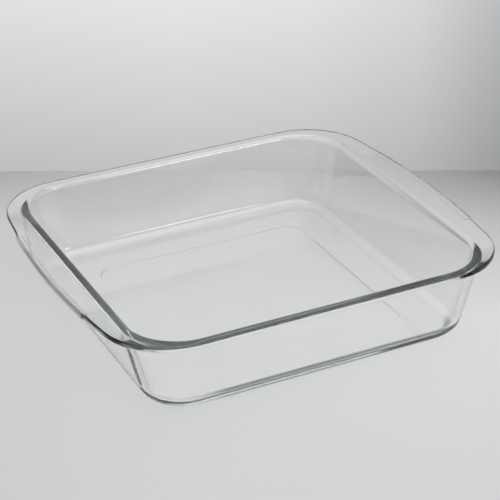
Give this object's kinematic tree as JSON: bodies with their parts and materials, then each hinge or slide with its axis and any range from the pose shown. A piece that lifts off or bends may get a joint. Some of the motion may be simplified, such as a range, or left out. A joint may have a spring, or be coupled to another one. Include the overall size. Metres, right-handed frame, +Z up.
{
  "type": "square baking dish",
  "caption": "Square oven dish of clear pressed glass with leaning walls, round corners and a flat rim that widens into a handle on two opposite sides.",
  "frame": {"origin": "middle of the dish, on the table that it stands on", "axes": "+X from handle to handle, +Y from front to back, +Z up out of the mouth"},
  "size_m": [0.2472, 0.2214, 0.0485],
  "materials": {
    "clear_glass": "fire-polished clear glass, faintly green at the edges"
  },
  "bodies": {
    "root": {"glass_dish": "clear_glass"}
  },
  "joints": []
}
